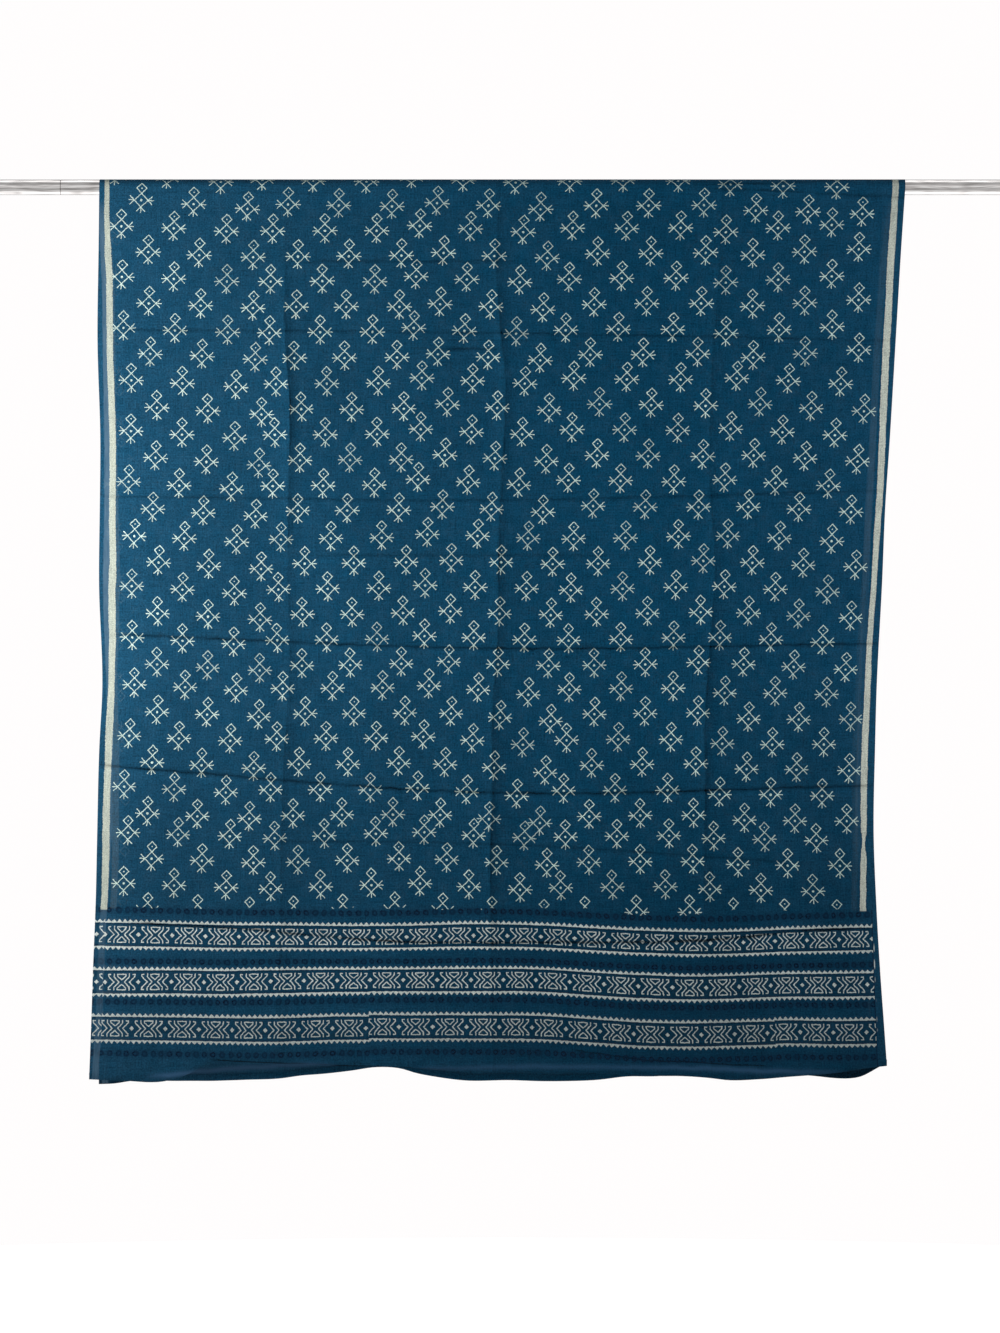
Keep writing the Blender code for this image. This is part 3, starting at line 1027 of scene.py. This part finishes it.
def scaled(tree, colour, factor):
    """A colour made lighter or darker by a field."""
    return add_node(tree, "VectorMath", {0: colour, "Scale": factor}, operation="SCALE").outputs[0]


def mixed(tree, factor, first, second):
    """One shader mixed with another."""
    return add_node(tree, "MixShader", {"Fac": factor, 1: first.outputs[0], 2: second.outputs[0]})


def bumped(tree, height, strength, distance):
    """The surface's direction, roughened by a field."""
    bump = add_node(tree, "Bump", {"Strength": strength, "Distance": distance, "Height": height})
    return bump.outputs["Normal"]


# ---- The print's inks ----


def motif_ink(tree, name, uneven):
    """One set of block-printed motifs: a dotted diamond with a small one on top and three forked feet."""
    x, y, ink = read(tree, name)
    x = x + uneven["sideways"] * MOTIF_WOBBLE
    y = y + uneven["upwards"] * MOTIF_WOBBLE
    across, down = abs(x), abs(y)
    stroke = uneven["edge"] * MOTIF_ROUGHNESS + STROKE_HALF
    large = abs(across + down - LARGE_DIAMOND) * DIAGONAL - stroke
    small = abs(across + abs(y + SMALL_AT) - SMALL_DIAMOND) * DIAGONAL - stroke
    dots = (x.length_with(y) - LARGE_DOT).least(x.length_with(y + SMALL_AT) - SMALL_DOT)
    along = across.most(y) - LARGE_DIAMOND
    beside = across.least(down)
    prong = (along - beside) * DIAGONAL
    diagonal = abs(prong).most((along + beside) * DIAGONAL - PRONG_LENGTH) - stroke
    middle = beside.most(along - MIDDLE_PRONG_LENGTH) - stroke
    feet = diagonal.least(middle).most(along * -1.0)
    shape = large.least(small).least(dots).least(feet)
    return shape.inside(INK_SOFTNESS) * ink


def band_figures(x, y, stroke):
    """The figures of a band: an hourglass of two triangles between nested chevrons, then a lozenge."""
    parts = [to_segment(x, y, *ends) for path in FIGURE_PATHS for ends in zip(path, path[1:])]
    strokes = parts[0]
    for part in parts[1:]:
        strokes = strokes.least(part)
    strokes = strokes - stroke
    lozenge = (abs(x - FIGURE_PITCH / 2) + y - LOZENGE) * DIAGONAL
    return strokes.least(lozenge)


def band_ink(x, y, uneven):
    """The bands' pale figures and toothed edges, the thin dark lines inside the edges, and the insides."""
    centre = y.above(BAND_PARTINGS[0]) * (BAND_CENTRES[1] - BAND_CENTRES[0])
    centre = centre + y.above(BAND_PARTINGS[1]) * (BAND_CENTRES[2] - BAND_CENTRES[1])
    height = abs(y - centre - BAND_CENTRES[0])
    folded = abs((x + FIGURE_PITCH / 2).wrap(FIGURE_PITCH) - FIGURE_PITCH / 2)
    figures = band_figures(folded, height, uneven["edge"] * BAND_ROUGHNESS + BAND_STROKE_HALF)
    edge = height - BAND_INNER
    teeth = abs((x / TOOTH_PITCH).wrap(1.0) - 0.5) * (2 * TOOTH_HEIGHT)
    strip = (edge * -1.0).most(edge - STRIP_WIDTH - TOOTH_HEIGHT + teeth)
    pale = figures.least(strip).inside(INK_SOFTNESS)
    lines = (abs(edge + LINE_INSIDE) - LINE_HALF).inside(LINE_HALF) * LINE_STRENGTH
    return pale, lines, edge.inside(1.0)


def ring_ink(x, y, uneven):
    """The rows of dark rings between the bands, a little filled in and smudged."""
    row = abs(y - RING_ROWS[0])
    for ring_row in RING_ROWS[1:]:
        row = row.least(abs(y - ring_row))
    jitter = (uneven["patch"] + uneven["broad"]) * RING_JITTER
    beside = (x + jitter).wrap(RING_PITCH) - RING_PITCH / 2
    ring = beside.length_with(row + uneven["patch"] * RING_WOBBLE) - RING_RADIUS
    wall = abs(ring) - RING_HALF + uneven["edge"] * RING_ROUGHNESS
    rings = wall.inside(RING_SOFTNESS) * unevenly(uneven, RING_WEAR, RING_STRENGTH)
    rings = rings.most(ring.inside(1.0) * RING_FILL)
    return rings.most(row.bell(RING_SMUDGE) * unevenly(uneven, SMUDGE_WEAR, SMUDGE_STRENGTH))


def end_inks(tree, uneven):
    """The inks of the cloth's end: pale, thin lines, the bands' insides, rings, and the right end's seam."""
    x, y, inside = read(tree, "bands")
    x = x + uneven["sideways"] * BAND_WOBBLE
    y = y + uneven["upwards"] * BAND_WOBBLE
    printed = (inside * -1.0).inside(0.5)
    pale, lines, insides = band_ink(x, y, uneven)
    rings = ring_ink(x, y, uneven)
    beyond = y.above(SEAM_START)
    seam = (abs(inside) - SEAM_HALF).inside(SEAM_SOFTNESS) * beyond * SEAM_STRENGTH
    misprint = (abs(inside + MISPRINT_BESIDE) - MISPRINT_HALF).inside(0.5) * beyond
    misprint = misprint * (abs(y - MISPRINT_AT) - MISPRINT_REACH).inside(MISPRINT_FADE)
    misprint = misprint * (uneven["patch"] * 2.0 + MISPRINT_STRENGTH).clamped()
    pale = (pale * printed).most(misprint)
    return pale, (lines * printed).most(seam), insides * printed, rings * printed


def stripe_ink(tree, uneven):
    """The plain pale stripe along each selvedge, and where the motifs stop."""
    left, right, beyond = read(tree, "stripes")
    rough = (uneven["edge"] + uneven["patch"]) * STRIPE_ROUGHNESS
    nearest = abs(left).least(abs(right)) - STRIPE_HALF + rough
    ended = (beyond - STRIPE_END + MOTIF_END).inside(1.2)
    motifs_end = (beyond + uneven["patch"] * MOTIF_END_WOBBLE).inside(1.0)
    return nearest.inside(0.5) * ended * STRIPE_STRENGTH, motifs_end


# ---- Cloth and chrome ----


def crease_shade(gap, height, shades):
    """The painted shade and light that a crease puts on the cloth beside it."""
    parts = [(gap - middle).bell(half_width) * amount for middle, half_width, amount in shades]
    return sum(parts[1:], parts[0]) * height


def all_creases(tree, uneven):
    """The share by which the nearest upright and level creases' painted shade and light change each point.
    """
    total = []
    for name, shades in (("upright_crease", UPRIGHT_SHADES), ("level_crease", LEVEL_SHADES)):
        gap, height, _ = read(tree, name)
        total.append(crease_shade(gap + uneven["patch"] * CREASE_WOBBLE, height, shades))
    return (total[0] + total[1]) * (uneven["fold"] * CREASE_SHADE_UNEVENNESS + 1.0)


def dye_tone_and_painted_shade(across, down, uneven):
    """How light the dyed cloth is: uneven in thread and dye, and with painted shade low on the front fall.
    """
    shade = unevenly(uneven, DYE_SHADES, 1.0)
    # Painted shade: the front fall darker towards its lower end, and more so at its lower right.
    shade = shade * down.ramp(*END_SHADE_DROPS).toward(END_SHADE)
    shade = shade * down.ramp(*LOW_SHADE_DROPS).toward(LOW_SHADE)
    low_right = across.ramp(*RIGHT_SHADE_BEGINS) * down.ramp(*RIGHT_SHADE_DROPS)
    low_right = low_right * across.ramp(*RIGHT_SHADE_EASES).toward(0.5)
    return shade * low_right.toward(RIGHT_SHADE)


def ink_colour(tree, across, fall, stripe, shade, uneven):
    """The pale ink: greener in patches, greyer in the bands, and of its own colour in each side's stripe,
    with half the cloth's shade and painted shade near the rod and in the last band.
    """
    light = blend(tree, uneven["broad"] * INK_PATCHES + 0.5, PALE_INK, PALE_INK_GREEN)
    light = blend(tree, fall.ramp(*BAND_INK_DROPS), light, BAND_INK)
    stripe_light = blend(tree, (across - 500.0).inside(1.0), STRIPE_INK_RIGHT, STRIPE_INK_LEFT)
    light = blend(tree, stripe.above(0.01), light, stripe_light)
    # Half of the cloth's shade, and painted shade in the last band and near the rod.
    light_shade = (shade * 0.5 + 0.5) * fall.ramp(*LAST_BAND_DROPS).toward(BAND_INK_SHADE)
    light_shade = light_shade * (fall.ramp(*TOP_INK_DROPS) * (1 - TOP_INK_SHADE) + TOP_INK_SHADE)
    return scaled(tree, light, light_shade)


def cotton_colour(tree, across, down, fall, uneven):
    """The cloth's colour, with its painted shade, sheen and show-through, and where the pale ink lies."""
    stripe, motifs_end = stripe_ink(tree, uneven)
    motifs = motif_ink(tree, "motif_even", uneven).most(motif_ink(tree, "motif_odd", uneven)) * motifs_end
    bands, lines, insides, rings = end_inks(tree, uneven)
    pale = stripe.most(motifs).most(bands) * unevenly(uneven, INK_WEAR, INK_STRENGTH).clamped()

    light_mark, light_strength, corner = read(tree, "hem_light")
    dark_mark, dark_strength, _ = read(tree, "hem_dark")
    # Painted shade in the hem's wrinkles and the back hem's corners.
    painted_wrinkle = (dark_mark + uneven["patch"] * 0.4).bell(WRINKLE_HALF) * dark_strength
    shade = dye_tone_and_painted_shade(across, down, uneven) * corner.toward(CORNER_SHADE) * painted_wrinkle.toward(WRINKLE_SHADE)
    # Faded patches at random, and a painted sheen growing towards the left.
    fade_and_sheen = abs(across - LEAST_SHEEN_AT) * SHEEN_SLOPE + uneven["patch"] * 0.2 + LEAST_FADE_AND_SHEEN
    ground = blend(tree, fade_and_sheen, GROUND, GROUND_FADE_AND_SHEEN)
    ground = scaled(tree, ground, shade * insides.toward(BAND_INSIDE_SHADE))
    ground = blend(tree, rings, ground, RING_INK)
    ground = blend(tree, lines, ground, RING_INK)
    # The other fall's stripe, painted as show-through.
    ghost, ghost_strength, _ = read(tree, "ghosts")
    ghost = (abs(ghost) - GHOST_HALF + uneven["patch"] * 0.4).inside(GHOST_SOFTNESS)
    ghost = ghost * ghost_strength * unevenly(uneven, GHOST_UNEVENNESS, GHOST_STRENGTH)
    ground = blend(tree, ghost, ground, GHOST)
    # Painted sheen streaks along the hem.
    sheen = (light_mark + uneven["broad"] * 0.8).bell(HEM_LIGHT_HALF) * light_strength
    ground = blend(tree, sheen, ground, HEM_SHEEN)
    colour = blend(tree, pale, ground, ink_colour(tree, across, fall, stripe, shade, uneven))
    # The creases' painted shade and light, on top of their relief in the mesh.
    return scaled(tree, colour, all_creases(tree, uneven) + 1.0), pale


def make_cotton():
    """Thin hand-block-printed cotton: teal indigo, uneven, creased and a little sheer, with its print."""
    material, tree, surface = new_material("printed_cotton")
    material.use_transparent_shadow = False
    across, down, _ = read(tree, "cloth")
    fall = abs(down + TURN_ARC / 2) - TURN_ARC / 2
    uneven = {name: noise(tree, across, down, *sizes) for name, sizes in CLOTH_NOISES.items()}
    colour, pale = cotton_colour(tree, across, down, fall, uneven)
    normal = bumped(tree, unevenly(uneven, THREAD_RELIEF, 0.0), COTTON_BUMP, MILLIMETRE)
    set_inputs(surface, {"Base Color": colour, "Normal": normal, **COTTON_FINISH})
    glow = add_node(tree, "BsdfTranslucent", {"Color": colour})
    clear = add_node(tree, "BsdfTransparent", {})
    body = mixed(tree, TRANSLUCENCY, surface, glow)
    sheerness = pale.toward(INKED_SHEERNESS) * SHEERNESS * fall.ramp(*SHEER_FROM_ROD)
    sheer = mixed(tree, sheerness, body, clear)
    tree.links.new(sheer.outputs[0], tree.nodes["Material Output"].inputs["Surface"])
    return material


def make_chrome():
    """Chrome plate with fine streaks along the tube, and the hairline where two lengths of tube meet."""
    material, tree, shader = new_material("rod_chrome")
    along, deep, high = [axis * 1000.0 for axis in coordinates(tree, "Object")]
    around = high + deep * DEEP_TO_AROUND
    uneven = {name: noise(tree, along, around, *sizes) for name, sizes in CHROME_NOISES.items()}
    joint = (abs(along - ROD_JOINT_AT) - ROD_JOINT_HALF).inside(ROD_JOINT_HALF)
    colour = scaled(tree, blend(tree, joint, CHROME, ROD_JOINT), unevenly(uneven, CHROME_TONES, CHROME_TONE))
    rough = unevenly(uneven, CHROME_SCRATCHES, CHROME_ROUGHNESS).most(LEAST_ROUGHNESS)
    normal = bumped(tree, unevenly(uneven, CHROME_RELIEF, 0.0), CHROME_BUMP, CHROME_BUMP_DEPTH)
    set_inputs(shader, {"Base Color": colour, "Metallic": 1.0, "Roughness": rough, "Normal": normal})
    return material


# ---- Floor, light and camera ----


def make_floor():
    """A pale floor disc below the cloth. It turns white towards its rim and isn't mirrored in the chrome."""
    mesh = bpy.data.meshes.new("floor")
    angles = [2 * math.pi * k / FLOOR_SIDES for k in range(FLOOR_SIDES)]
    ring = [(FLOOR_RADIUS * math.cos(a), FLOOR_RADIUS * math.sin(a), FLOOR_LEVEL) for a in angles]
    mesh.from_pydata(ring, [], [list(range(FLOOR_SIDES))])
    material, tree, shader = new_material("pale_floor")
    x, y, _ = coordinates(tree, "Object")
    rim = x.length_with(y).ramp(*FLOOR_FADE)
    glow = (rim * (1 - FLOOR_GLOW) + FLOOR_GLOW) * light_path(tree, "Is Camera Ray")
    set_inputs(shader, {"Base Color": (*FLOOR_COLOUR, 1.0), "Roughness": FLOOR_ROUGHNESS})
    set_inputs(shader, {"Emission Color": (*BACKDROP, 1.0), "Emission Strength": glow})
    mesh.materials.append(material)
    floor = add_object("floor", mesh)
    floor.visible_glossy = False
    return floor


def make_world():
    """Surroundings that are white to the eye and dark through the sheer cloth, light the cloth from behind
    more than from in front, and stand in the chrome as tiers of grey."""
    world = bpy.data.worlds.new("studio")
    bpy.context.scene.world = world
    world.use_nodes = True
    tree = world.node_tree
    tree.nodes.clear()
    _, y, z = coordinates(tree, "Generated")
    turn = z.math("ARCTAN2", y * -1.0) / (2 * math.pi) + 0.5
    tiers = add_node(tree, "ValToRGB", {"Fac": turn})
    stops = tiers.color_ramp.elements
    stops.remove(stops[-1])
    for degrees, grey in CHROME_TIERS:
        stop = stops[0] if degrees == -180 else stops.new(degrees / 360 + 0.5)
        stop.color = (*[grey * part for part in TIER_TINT], 1.0)
    wall = blend(tree, light_path(tree, "Transparent Depth").above(0.5), BACKDROP, SHADED_BACKDROP)
    ambient = blend(tree, (y * BEHIND_SLOPE + 0.5).clamped(), AMBIENT_IN_FRONT, AMBIENT_BEHIND)
    plain = blend(tree, light_path(tree, "Is Camera Ray"), ambient, wall)
    shown = blend(tree, light_path(tree, "Is Glossy Ray"), plain, tiers.outputs["Color"])
    background = add_node(tree, "Background", {"Color": shown})
    add_node(tree, "OutputWorld", {"Surface": background.outputs["Background"]})


def add_area_light(name, place, aim, size, watts, colour):
    """A square soft light, turned towards the cloth, which the chrome doesn't mirror."""
    data = bpy.data.lights.new(name, "AREA")
    data.size = size
    data.energy = watts
    data.color = colour
    light = add_object(name, data)
    light.location = place
    light.visible_glossy = False
    light.rotation_euler = (Vector(aim) - Vector(place)).to_track_quat("-Z", "Y").to_euler()


def make_camera():
    """Straight in front, far enough back to see the cloth almost without perspective."""
    data = bpy.data.cameras.new("camera")
    data.sensor_width = SENSOR_WIDTH
    data.lens = SENSOR_WIDTH * CAMERA_DISTANCE / VIEW_HEIGHT
    camera = add_object("camera", data)
    camera.location = (VIEW_MIDDLE[0], -CAMERA_DISTANCE, VIEW_MIDDLE[1])
    camera.rotation_euler = (math.pi / 2, 0.0, 0.0)
    bpy.context.scene.camera = camera


# ---- The scene ----

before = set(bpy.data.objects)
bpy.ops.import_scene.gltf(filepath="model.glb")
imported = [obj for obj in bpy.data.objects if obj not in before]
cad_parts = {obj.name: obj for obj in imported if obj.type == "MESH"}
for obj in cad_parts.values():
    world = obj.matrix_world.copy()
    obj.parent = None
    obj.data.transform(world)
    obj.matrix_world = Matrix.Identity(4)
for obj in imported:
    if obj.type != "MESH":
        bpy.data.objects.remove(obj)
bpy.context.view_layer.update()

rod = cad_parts["rod"]
rod_low, rod_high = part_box("rod")
radius = (rod_high.z - rod_low.z) / 2 + CLEARANCE
TURN_ARC = math.pi * radius * 1000

cloth = make_cloth(make_cotton())
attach(cloth, "root")
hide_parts("dupatta")

chrome = make_chrome()
for slot in rod.material_slots:
    slot.material = chrome

make_floor()
make_world()
for light in LIGHTS:
    add_area_light(*light)
make_camera()
bpy.context.scene.view_settings.view_transform = "Standard"
